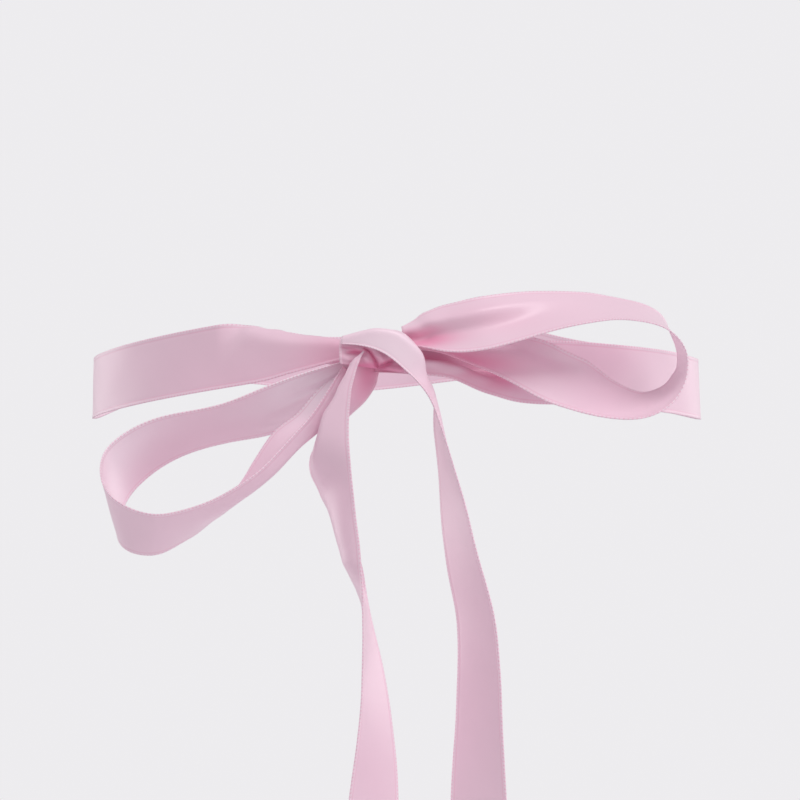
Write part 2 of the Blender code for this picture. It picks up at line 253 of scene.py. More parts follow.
@dataclass
class Stretch:
    """One stretch of the ribbon, as a sheet of its own.

    name is the solid that it stands for. ripple is how uneven the hang is, in mm, and end_fade how far
    from an end it takes to show. slant is how much further the cut end reaches at the leading edge.
    """

    name: str
    sections: list[Section]
    held: Held
    rests_on: tuple[str, ...] = ()
    creases: tuple[Crease, ...] = ()
    painted_shading: tuple[PaintedShading, ...] = ()
    ripple: float = 0.18
    end_fade: float = 12.0
    slant: float = 0.0
    seed: int = 1
    weave: Weave = field(default_factory=Weave)

    def surface(self) -> tuple[np.ndarray, np.ndarray, np.ndarray]:
        """The sheet's middle surface.

        Returns:
            Points, [row][column][xyz], and how far along and across the ribbon each is, all in mm.
        """
        edge, across, form = self._stations()
        knots = self._knots(edge, across)
        places = np.linspace(0, knots[-1], int(math.ceil(knots[-1] / self.weave.step_along)) + 1)
        line = edge + self.weave.heading_line * RIBBON_WIDTH * across
        edge = cubic_spline(edge, knots, places)
        across = unit(cubic_spline(across, knots, places))
        normal = np.cross(self._headings(line, knots, places), across)
        square = np.linalg.norm(normal, axis=1, keepdims=True)
        across = across / np.clip(square, self.weave.least_square, 1)
        points = self._sections_at(edge, across, unit(normal), eased(form, knots, places))
        middle = points[:, points.shape[1] // 2]
        run = np.concatenate([[0], np.cumsum(np.linalg.norm(np.diff(middle, axis=0), axis=-1))])
        if self.slant:
            points, run = self._slanted(points, run)
        far = np.broadcast_to(self.weave.shares() * RIBBON_WIDTH, points.shape[:2])
        run = np.broadcast_to(run[:, None], points.shape[:2])
        return points + self._relief(run, far)[..., None] * self._normals(points), run, far

    def _stations(self) -> tuple[np.ndarray, np.ndarray, np.ndarray]:
        """The sections' leading edges, ways across and forms.

        Returns:
            Edge points and unit steps across, [section][xyz], and [section][fold_at ... shown].
        """
        rows = self.sections
        edge = np.array([(s.x, s.y, s.z) for s in rows], float)
        turn, back = np.radians([(s.turn, s.back) for s in rows]).T
        across = np.stack([np.sin(turn) * np.cos(back), np.sin(back), np.cos(turn) * np.cos(back)], -1)
        form = [(s.fold_at, s.fold, s.fold2_at, s.fold2, s.curl, s.width, s.shown) for s in rows]
        return edge, across, np.array(form, float)

    def _knots(self, edge: np.ndarray, across: np.ndarray) -> np.ndarray:
        """How far along each section is, by its edge's step and half the step of its far edge."""
        reach = np.linalg.norm(np.diff(edge, axis=0), axis=1)
        swing = np.linalg.norm(np.diff(across, axis=0), axis=1) * RIBBON_WIDTH
        return np.concatenate([[0], np.cumsum(reach + 0.5 * swing)])

    def _headings(self, line: np.ndarray, knots: np.ndarray, places: np.ndarray) -> np.ndarray:
        """Unit steps along the ribbon, from a line in the cloth with a point for each section."""
        reach = self.weave.heading_reach
        ahead = cubic_spline(line, knots, np.minimum(places + reach, knots[-1]))
        behind = cubic_spline(line, knots, np.maximum(places - reach, 0))
        return unit(ahead - behind)

    def _sections_at(
        self, edge: np.ndarray, across: np.ndarray, normal: np.ndarray, form: np.ndarray
    ) -> np.ndarray:
        """Points across each row, with the folds and the curl laid in.

        Args:
            edge: leading-edge points, [row][xyz].
            across: steps across, of one mm or a little more, [row][xyz].
            normal: unit steps out of the cloth, [row][xyz].
            form: [row][fold_at, fold, fold2_at, fold2, curl, width, shown].

        Returns:
            Points, [row][column][xyz].
        """
        share = self.weave.shares()
        fold_at, fold, fold2_at, fold2, curl, width, shown = form.T[..., None]
        place = share * width
        bend = np.radians(curl) * (share - 0.5)
        for line, angle in ((fold_at, fold), (fold2_at, fold2)):
            done = np.clip((place - line) / (2 * self.weave.fold_reach) + 0.5, 0, 1)
            bend = bend + np.radians(angle) * done * done * (3 - 2 * done)
        middle = 0.5 * (bend[:, 1:] + bend[:, :-1])
        step = np.diff(place - self.weave.tuck * np.maximum(place - shown, 0), axis=1)
        start = np.zeros((len(edge), 1))
        right = np.hstack([start, np.cumsum(np.cos(middle) * step, axis=1)])[..., None]
        lift = np.hstack([start, np.cumsum(np.sin(middle) * step, axis=1)])[..., None]
        return edge[:, None] + right * across[:, None] + lift * normal[:, None]

    def _slanted(self, points: np.ndarray, run: np.ndarray) -> tuple[np.ndarray, np.ndarray]:
        """The same rows drawn up so that the last one is a slanting cut."""
        share = self.weave.shares()
        drawn = np.empty_like(points)
        for column, part in enumerate(share):
            near = run * (1 - self.slant * part / run[-1])
            for axis in range(3):
                drawn[:, column, axis] = np.interp(near, run, points[:, column, axis])
        return drawn, run

    def _normals(self, points: np.ndarray) -> np.ndarray:
        """The surface's own normals."""
        return unit(np.cross(np.gradient(points, axis=0), np.gradient(points, axis=1)))

    def _relief(self, run: np.ndarray, far: np.ndarray) -> np.ndarray:
        """Creases and the soft unevenness of the hang, in mm."""
        relief = sum((c.relief(run, far) for c in self.creases), np.zeros(run.shape))
        chance = np.random.default_rng(self.seed)
        for wave in HANG_WAVES:
            phase, lean = chance.uniform(0, 2 * math.pi), chance.uniform(-WAVE_LEAN, WAVE_LEAN)
            height = self.ripple * wave / FULL_WAVE
            relief = relief + height * np.sin(2 * math.pi * (run + lean * far) / wave + phase)
        ends = np.clip(np.minimum(run, run[-1, 0] - run) / self.end_fade, 0, 1)
        return relief * ends**0.5

    def length(self) -> float:
        """The stretch's length along its middle, in mm."""
        return float(self.surface()[1][-1, 0])

    def build(self) -> bpy.types.Object:
        """The sheet as an object, with its weave map, its painted shade and light, and its wall."""
        points, run, far = self.surface()
        rows, columns = points.shape[:2]
        form = bmesh.new()
        bmesh.ops.create_grid(form, x_segments=columns - 1, y_segments=rows - 1, size=1.0)
        for vertex, point in zip(form.verts, points.reshape(-1, 3)):
            vertex.co = point * MM
        layer = form.loops.layers.uv.new(WEAVE_MAP)
        places = (np.stack([run, far], -1) * MM).reshape(-1, 2)
        form.verts.index_update()
        for face in form.faces:
            face.smooth = True
            for loop in face.loops:
                loop[layer].uv = places[loop.vert.index]
        mesh = bpy.data.meshes.new(self.name + "_cloth")
        form.to_mesh(mesh)
        form.free()
        painted_shade = mesh.attributes.new(PAINTED_SHADE, "FLOAT", "POINT")
        painted_shade.data.foreach_set("value", self._painted_shade(points, (run, far)).reshape(-1).astype(np.float32))
        piece = bpy.data.objects.new(self.name + "_cloth", mesh)
        bpy.context.scene.collection.objects.link(piece)
        self._add_wall(piece, far)
        return piece

    def _painted_shade(self, points: np.ndarray, places: tuple[np.ndarray, np.ndarray]) -> np.ndarray:
        """How much painted shade each point gets, from -1 to 1: deeper pink above zero, and below it
        painted light, paler pink.

        Args:
            points: [row][column][xyz], in mm.
            places: how far along and across the ribbon each point is, in mm.

        Returns:
            A value for each point.
        """
        shades = [shading_spot.shade(points) for shading_spot in self.painted_shading]
        troughs = [crease for crease in self.creases if crease.height < 0]
        # Troughs get painted shade as well: the deeper the trough, the deeper the pink.
        shades += [-TROUGH_PAINTED_SHADE * crease.relief(*places) for crease in troughs]
        return np.clip(sum(shades, np.zeros(points.shape[:2])), -1, 1)

    def _add_wall(self, piece: bpy.types.Object, far: np.ndarray) -> None:
        """Gives the sheet its thickness, more at the selvedges than between them."""
        weave = self.weave
        edge = np.minimum(far, RIBBON_WIDTH - far).reshape(-1)
        bead = edge < weave.bead
        groove = (edge > weave.groove[0]) & (edge < weave.groove[1])
        group = piece.vertex_groups.new(name="selvedge")
        for share, where in ((1.0, bead), (weave.body_rise, ~bead & ~groove), (0.0, groove)):
            group.add(np.flatnonzero(where).tolist(), share, "REPLACE")
        wall = piece.modifiers.new("wall", "SOLIDIFY")
        wall.thickness = weave.wall * MM
        wall.offset = 0.0
        wall.vertex_group = group.name
        wall.thickness_vertex_group = weave.groove_wall
        if self.held is Held.STRETCHED:
            # The waist's stretches meet end to end, and this keeps the joins from showing.
            shading = piece.modifiers.new("shading", "WEIGHTED_NORMAL")
            shading.weight = 100

    def dress(self, piece: bpy.types.Object, material: bpy.types.Material) -> None:
        """Gives the piece its satin, hangs it from the frame's root and hides the solid that it stands
        for.

        Args:
            piece: the built sheet.
            material: its finish.
        """
        piece.data.materials.append(material)
        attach(piece, "root")
        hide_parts(self.name)
        flat = (RIBBON_WIDTH * MM, round(self.length() * MM, 3))


BAND_LEFT_TO_KNOT = (
    Section(-57.7, -81.7, -5.3, 0, 0, 18.0, -20, 21.0, -50),
    Section(-49.1, -85.5, -3.6, 0, 0, 15.0, -35, 20.0, -80),
    Section(-41.6, -88.9, -1.4, 0, 0, 12.0, -45, 16.8, -95),
    Section(-34.1, -92.2, 0.5, 0, 0, 10.0, -50, 14.6, -105),
    Section(-26.7, -95.5, 2.5, 0, 0, 7.8, -55, 11.5, -110, 0, 22),
    Section(-19.0, -99.0, 4.6, 0, 0, 5.0, -60, 8.6, -110, 0, 17),
)

BAND_RIGHT_TO_KNOT = (
    Section(51.8, -86.0, -12.9, 0, 0),
    Section(45.7, -88.6, -12.1, 0, 0, 5.0, 10, 12.0, -10),
    Section(39.5, -91.3, -10.4, 0, 5, 6.0, 50, 13.0, -50),
    Section(30.5, -95.3, -7.4, 0, 10, 6.5, 85, 13.0, -85, 0, 23),
    Section(20.8, -99.3, -3.3, 0, 10, 6.5, 110, 12.0, -100, 0, 21),
    Section(12.0, -101.8, -2.1, 0, 10, 6.5, 120, 11.5, -100, 0, 19),
    Section(4.0, -103.2, -1.5, 0, 8, 6.0, 120, 10.5, -100, 0, 14),
    Section(-3.0, -104.4, -1.1, 0, 5, 5.0, 115, 9.5, -90, 0, 9),
    Section(-8.5, -105.0, -0.9, 0, 5, 4.0, 110, 7.5, -80, 0, 6),
)

LOOP_RIGHT = (
    Section(2.8, -107.2, 9.3, -12, 78, 4.0, 105, 8.0, -95, 0, 11.5),
    Section(8.1, -109.0, 8.9, -12, 72, 5.0, 100, 10.0, -98, 0, 16.5),
    Section(16.4, -112.5, 7.3, -12, 50, 8.5, 88, 14.0, -100, 0, 20.5),
    Section(22.8, -115.0, 6.7, -8, 40, 10.0, 60, 15.0, -74, 0, 23.3),
    Section(34.0, -117.5, 7.7, -4, 37, 11.0, 50, 16.5, -62),
    Section(46.5, -118.0, 10.8, -2, 45, 11.5, 34, 17.0, -42),
    Section(59.3, -117.0, 14.7, -2, 54, 12.0, 10, 18.0, -14),
    Section(70.9, -115.0, 17.4, 1, 61.5),
    Section(80.4, -112.0, 18.9, 8, 68.5),
    Section(89.0, -108.5, 19.1, 32, 72),
    Section(99.5, -103.0, 17.2, 52, 78),
    Section(107.2, -99.0, 12.9, 30, 87),
    Section(111.4, -97.5, 6.3, -65, 87),
    Section(111.9, -97.5, 1.9, -81, 86),
    Section(111.0, -98.5, -4.0, -45, 82),
    Section(107.3, -100.0, -11.0, -20, 77),
    Section(96.8, -104.0, -17.7, 9, 70),
    Section(85.1, -106.5, -18.7, 28, 62),
    Section(74.4, -108.0, -17.2, 35, 52),
    Section(65.6, -108.5, -14.8, 36, 41),
    Section(56.0, -108.5, -11.5, 36, 32, 12.0, 8, 20.0, -25),
    Section(48.1, -107.5, -7.3, 38, 29, 12.0, 20, 19.0, -50),
    Section(39.4, -106.5, -2.6, 36, 30, 11.0, 30, 18.0, -60, 0, 24),
    Section(30.0, -105.5, 1.6, 30, 35, 9.0, 45, 15.0, -80, 0, 21),
    Section(19.2, -104.0, 6.0, 20, 45, 7.0, 60, 12.0, -90, 0, 17),
    Section(10.0, -103.0, 7.8, 10, 60, 6.0, 60, 10.0, -60, 0, 13),
    Section(3.0, -102.2, 8.0, 5, 65, 6.0, 60, 10.0, -60, 0, 11),
)

LOOP_LEFT = (
    Section(-17.0, -103.9, 4.8, 150, 5, 7.0, 0, 15.0, 0, 0, 6),
    Section(-20.5, -103.6, 3.2, 158, 22, 7.0, 0, 15.0, 0, 0, 10),
    Section(-26.6, -103.6, 1.5, 163, 38, 8.0, 0, 15.0, 0, 0, 18),
    Section(-33.8, -104.0, -0.6, 165, 44, 8.0, 0, 15.0, 0, 0, 22),
    Section(-48.3, -105.5, -5.8, 168, 44),
    Section(-65.1, -105.5, -12.6, 168, 53),
    Section(-78.1, -105.0, -15.7, 171, 53),
    Section(-91.9, -104.0, -18.5, 162, 47),
    Section(-105.3, -105.0, -25.1, 157, 40),
    Section(-109.9, -107.5, -29.4, 158, 37),
    Section(-111.8, -112.0, -34.5, 163, 33),
    Section(-111.0, -119.0, -41.5, 168, 32),
    Section(-107.3, -125.5, -47.1, 170, 36),
    Section(-99.5, -130.0, -51.8, 172, 43),
    Section(-90.0, -132.4, -54.1, 174, 52, 10.0, 0, 16.0, 0, 10),
    Section(-81.6, -132.0, -53.1, 166, 63, 10.0, 0, 16.0, 0, 28),
    Section(-69.4, -129.5, -49.1, 157, 66, 9.5, 16, 16.0, 0, 43),
    Section(-59.6, -126.5, -43.6, 147, 58, 8.3, 48, 16.0, 0, 26),
    Section(-50.5, -122.5, -37.0, 138, 49, 7.3, 72, 16.0, 0, 8),
    Section(-40.0, -116.0, -25.8, 132, 43, 7.6, 94),
    Section(-32.8, -111.5, -17.5, 128, 36, 8.5, 107, 16, 0, 0, 23.5),
    Section(-27.1, -108.8, -9.1, 124, 28, 7.0, 116, 16, 0, 0, 19),
    Section(-22.4, -107.8, -1.6, 122, 15, 5.0, 120, 16, 0, 0, 12.5),
    Section(-20.4, -107.6, 1.6, 122, 12, 5.0, 100, 16, 0, 0, 8),
)

TAIL_LEFT = (
    Section(-12.2, -113.4, 6.9, 306, 0, 4.0, 138, 16.0, 0, 0, 18.4, 0.25),
    Section(-13.0, -113.6, 5.5, 300, 0, 4.0, 138, 16.0, 0, 0, 18.4, 0.7),
    Section(-13.8, -113.9, 3.7, 287, 0, 4.0, 138, 16.0, 0, 0, 18.4, 1.95),
    Section(-14.5, -114.2, 1.9, 278, 1, 3.6, 138, 16.0, 0, 0, 18.4, 3.4),
    Section(-14.6, -114.2, 1.6, 277, 1, 3.4, 138, 16.0, 0, 0, 18.4),
    Section(-15.3, -114.4, -0.5, 270, 3, 3.8, 138, 16.0, 0, 0, 19.8),
    Section(-15.9, -114.7, -3.0, 267, 5, 4.5, 138, 16.0, 0, 0, 20.8),
    Section(-16.5, -114.9, -5.0, 267, 7, 5.1, 138, 16.0, 0, 0, 21.8),
    Section(-17.4, -115.7, -10.4, 268, 10, 7.0, 134, 16.0, 0, 0, 22.5),
    Section(-17.9, -116.5, -17.0, 270, 11, 10.5, 124, 16.0, 0, 0, 24.5),
    Section(-18.0, -117.3, -25.1, 270, 14, 12.5, 104),
    Section(-17.8, -117.7, -29.3, 269, 20, 14.3, 84),
    Section(-17.5, -118.0, -33.5, 268, 29, 16.5, 58),
    Section(-16.8, -118.4, -41.7, 267, 49, 18.5, 12, 16.0, 0, 15),
    Section(-16.0, -119.0, -49.5, 267, 60, 12.0, 0, 16.0, 0, 50),
    Section(-15.2, -119.8, -57.0, 265, 68, 12.0, 0, 16.0, 0, 85),
    Section(-14.1, -120.7, -64.2, 262, 76, 12.0, 0, 16.0, 0, 115),
    Section(-13.4, -121.5, -71.3, 250, 87, 12.0, 0, 16.0, 0, 138),
    Section(-13.0, -122.0, -77.2, 95, 89.5, 12.0, 0, 16.0, 0, 102),
    Section(-12.6, -122.3, -84.0, 94, 88.3, 12.0, 0, 16.0, 0, 52),
    Section(-12.6, -122.6, -90.8, 93, 85.6, 12.0, 0, 16.0, 0, 20),
    Section(-12.6, -123.0, -101.5, 92, 80.3, 12.0, 0, 16.0, 0, 16),
    Section(-12.9, -124.0, -115.3, 95, 71, 12.0, 0, 16.0, 0, 10),
    Section(-14.4, -126.0, -137.2, 98, 58),
    Section(-17.8, -127.0, -161.0, 98, 42),
    Section(-22.0, -128.0, -200.0, 93, 30),
    Section(-24.0, -128.0, -260.0, 90, 25),
    Section(-22.0, -127.0, -330.0, 88, 35),
    Section(-20.0, -126.0, -420.0, 90, 40),
)

TAIL_RIGHT = (
    Section(-21.1, -113.2, 9.7, 2, 5, 2.6, -80, 16.0, 0, 0, 8),
    Section(-15.5, -114.8, 9.3, 8, 0, 4.5, -82, 16.0, 0, 0, 12),
    Section(-9.6, -116.2, 8.1, 18, 0, 7.5, -90, 16.0, 0, 0, 16),
    Section(-2.9, -117.0, 4.9, 32, 0, 9.4, -85, 16.0, 0, 0, 16.5),
    Section(3.1, -117.0, -0.1, 41, 10, 9.2, -80, 16.0, 0, 0, 14),
    Section(8.5, -117.0, -5.3, 48, 58, 7.0, -25, 16.0, 0, -10, 13.5),
    Section(13.1, -118.0, -11.9, 50, 83, 8.0, 0, 16.0, 0, -30, 17),
    Section(15.4, -118.5, -17.4, -60, 87, 8.0, 0, 16.0, 0, -40, 21),
    Section(18.2, -119.5, -25.6, -92, 82, 12.0, 0, 16.0, 0, -30),
    Section(21.6, -120.5, -37.0, -98, 77, 12.0, 0, 16.0, 0, -15),
    Section(27.4, -123.0, -57.3, -103, 66),
    Section(31.3, -124.5, -72.6, -103, 61),
    Section(36.1, -126.0, -90.1, -100, 57),
    Section(38.3, -127.0, -107.6, -95, 53),
    Section(39.6, -128.0, -131.4, -94, 47),
    Section(41.0, -129.0, -160.8, -94, 35),
    Section(43.0, -129.0, -200.0, -94, 28),
    Section(44.0, -128.0, -270.0, -91, 28),
    Section(41.0, -127.0, -350.0, -90, 38),
    Section(42.0, -126.0, -440.0, -90, 35),
)

KNOT_WRAP = (
    Section(-20.5, -101.4, 6.4, 92, 0, width=23.2),
    Section(-20.8, -101.0, 8.4, 88, 0, width=23.2),
    Section(-21.2, -102.2, 10.6, 86, 0, width=23.2),
    Section(-21.6, -108.5, 10.8, 85, -2, width=24.0),
    Section(-21.8, -111.0, 8.8, 87, -2, width=25.0),
    Section(-21.8, -111.6, 5.9, 90, -1, width=25.0),
    Section(-21.7, -111.5, 4.0, 94, 0, width=25.0),
    Section(-21.6, -111.2, 2.3, 98, 0, width=25.5),
)

KNOT_CREASES = (
    Crease((16.6, 0.8), (18.1, 7.1), -0.9, 0.8),
    Crease((19.1, 2.6), (19.6, 9.7), -1.6, 1.1),
    Crease((17.4, 3.0), (18.4, 8.0), 0.8, 0.9),
    Crease((21.6, 0.8), (23.2, 4.6), 0.7, 1.2),
    Crease((17.2, 9.2), (19.6, 12.0), -1.7, 0.55),
    Crease((19.4, 11.8), (23.6, 14.1), -2.0, 0.6),
    Crease((23.4, 14.0), (25.6, 14.2), -1.4, 0.6),
    Crease((25.2, 14.3), (22.0, 20.6), -2.0, 0.65),
    Crease((19.4, 13.9), (22.6, 17.0), 1.7, 1.5),
    Crease((20.6, 9.4), (23.6, 11.0), 1.3, 1.5),
    Crease((25.0, 17.5), (24.6, 24.0), 1.0, 1.0),
    Crease((16.4, 10.5), (19.2, 16.5), 0.8, 1.2),
)

LOOP_LEFT_CREASES = (
    Crease((4.0, 6.0), (30.0, 8.5), 0.5, 1.6),
    Crease((5.0, 14.0), (40.0, 15.0), -0.6, 2.0),
    Crease((6.0, 19.0), (44.0, 20.5), 0.7, 1.6),
)

# Each is an angle from the left side towards the bow, the low edge's height, and how far the top leans
# in, with the angles in degrees.
WAIST_LEFT = (
    (0, -19.3, 1.5),
    (4, -19.3, 1.5),
    (15, -17.8, 1.5),
    (30, -14.6, 1),
    (45, -10.6, 0.5),
    (56, -7.4, 0),
)

WAIST_RIGHT = (
    (180, -19.6, 3),
    (176, -19.6, 3),
    (165, -19.0, 2.5),
    (150, -16.8, 2),
    (135, -14.9, 1),
    (120, -13.3, 0),
)

WAIST_FAR = (
    (360, -19.3, 1.5),
    (356, -19.3, 1.5),
    (345, -17.0, 1.5),
    (330, -11.5, 2),
    (315, -6.3, 2),
    (300, -4.4, 2),
    (290, -7.2, 2),
    (282, -8.2, 2),
    (275, -7.2, 2),
    (268, -5.6, 2.5),
    (260, -3.4, 2.5),
    (250, -2.2, 2.5),
    (240, -6.5, 2.5),
    (225, -12.0, 3),
    (210, -15.5, 3),
    (195, -18.4, 3),
    (184, -19.6, 3),
    (180, -19.6, 3),
)


@dataclass(frozen=True)
class Waist:
    """The oval that the sash goes round."""

    half_width: float = 126.7
    half_depth: float = 91.0

    def sections(self, rows: tuple[tuple[float, float, float], ...]) -> list[Section]:
        """Sections that stand on the oval.

        Args:
            rows: angles in degrees, low-edge heights, and how far the top leans in.

        Returns:
            A section for each row.
        """
        made = []
        for angle, low, lean in rows:
            at, lean = math.radians(angle), math.radians(lean)
            x, y = -self.half_width * math.cos(at), -self.half_depth * math.sin(at)
            turn = math.degrees(math.atan2(math.sin(lean) * math.cos(at), math.cos(lean)))
            back = math.degrees(math.asin(math.sin(lean) * math.sin(at)))
            made.append(Section(x, y, low, turn, back))
        return made


@dataclass
class WaistBand:
    """The ribbon round the waist: left of the bow, right of it, and round the other side."""

    waist: Waist = field(default_factory=Waist)

    def stretches(self) -> list[Stretch]:
        """The three stretches."""
        left = self.waist.sections(WAIST_LEFT) + list(BAND_LEFT_TO_KNOT)
        right = self.waist.sections(WAIST_RIGHT) + list(BAND_RIGHT_TO_KNOT)
        return [
            Stretch(
                "band_left",
                left,
                Held.STRETCHED,
                # Painted shade where the band runs into the knot.
                painted_shading=(PaintedShading((-19.0, -99.0, 5.0), (24.0, 14.0, 12.0), 0.4),),
                ripple=0.22,
                seed=11,
            ),
            Stretch(
                "band_right",
                right,
                Held.STRETCHED,
                # Painted shade in the valley under the right loop and at the knot, and painted light
                # along the top of the roll.
                painted_shading=(
                    PaintedShading((20.0, -96.0, 4.0), (30.0, 7.0, 5.0), 1.0),
                    PaintedShading((38.0, -91.0, -3.0), (17.0, 8.0, 4.5), 0.8),
                    PaintedShading((13.0, -101.0, 2.2), (8.0, 3.5, 1.6), -0.9),
                    PaintedShading((23.0, -98.0, 0.2), (8.0, 3.5, 1.8), -0.8),
                    PaintedShading((34.0, -94.0, -3.5), (9.0, 4.0, 2.4), -0.5),
                    PaintedShading((-4.0, -104.0, 2.0), (9.0, 8.0, 8.0), 0.8),
                ),
                ripple=0.22,
                seed=12,
            ),
            Stretch("band_far", self.waist.sections(WAIST_FAR), Held.STRETCHED, ripple=0.2, seed=13),
        ]


@dataclass
class Bow:
    """The bow's two loops."""

    def stretches(self) -> list[Stretch]:
        """The two loops."""
        knot = ("knot_wrap",)
        return [
            Stretch(
                "loop_left",
                list(LOOP_LEFT),
                Held.HUNG,
                knot,
                # Painted shade at the neck, and painted light on the loop's far end and on its back near
                # the knot.
                painted_shading=(
                    PaintedShading((-19.0, -106.0, -4.0), (9.0, 6.0, 12.0), 0.45),
                    PaintedShading((-108.0, -102.0, -30.0), (24.0, 10.0, 30.0), -0.95),
                    PaintedShading((-40.0, -98.0, -9.0), (26.0, 8.0, 13.0), -0.8),
                    PaintedShading((-36.0, -104.0, -6.0), (15.0, 8.0, 9.0), -0.6),
                    PaintedShading((-45.0, -104.0, -26.0), (22.0, 9.0, 16.0), -0.15),
                ),
                creases=LOOP_LEFT_CREASES,
                ripple=0.2,
                seed=21,
            ),
            Stretch(
                "loop_right",
                list(LOOP_RIGHT),
                Held.HUNG,
                knot,
                # Painted shade in the troughs near the knot and on the top, and painted light at the
                # loop's far end.
                painted_shading=(
                    PaintedShading((6.0, -110.0, 12.2), (15.0, 7.0, 3.2), 0.95),
                    PaintedShading((34.0, -110.0, 19.0), (17.0, 12.0, 5.0), 0.16),
                    PaintedShading((111.0, -90.0, 0.0), (10.0, 20.0, 20.0), -0.6),
                    PaintedShading((20.0, -105.0, 3.0), (26.0, 5.0, 7.0), 0.9),
                ),
                ripple=0.2,
                seed=22,
            ),
        ]


@dataclass
class Knot:
    """The turn of ribbon round the loops' necks."""

    def stretches(self) -> list[Stretch]:
        """The wrap."""
        return [
            Stretch(
                "knot_wrap",
                list(KNOT_WRAP),
                Held.GATHERED,
                creases=KNOT_CREASES,
                # Painted shade over the knot and along the wrap's lower edge.
                painted_shading=(
                    PaintedShading((-6.0, -111.0, 3.0), (17.0, 14.0, 14.0), 0.5),
                    PaintedShading((-1.5, -111.0, 0.0), (8.0, 6.0, 2.6), 0.4),
                    PaintedShading((-12.0, -111.0, 0.6), (5.5, 6.0, 1.9), 0.9),
                ),
                ripple=0.0,
                end_fade=1.2,
                weave=Weave(step_across=0.5, step_along=0.5, wall=0.4),
            )
        ]


@dataclass
class Tails:
    """The two hanging ends, each cut on a slant."""

    slant: float = 14.0

    def stretches(self) -> list[Stretch]:
        """The two tails."""
        knot = ("knot_wrap",)
        return [
            Stretch(
                "tail_left",
                list(TAIL_LEFT),
                Held.HUNG,
                knot,
                # Painted shade where the tail comes out from under the wrap.
                painted_shading=(PaintedShading((-8.0, -107.5, -3.0), (9.0, 5.0, 14.0), 0.9),),
                slant=self.slant,
                seed=41,
                weave=Weave(step_along=0.7),
            ),
            Stretch(
                "tail_right",
                list(TAIL_RIGHT),
                Held.HUNG,
                knot,
                # Painted light on the tail's root by the knot.
                painted_shading=(PaintedShading((-4.0, -116.0, 8.0), (20.0, 8.0, 12.0), -0.5),),
                slant=self.slant,
                seed=42,
            ),
        ]


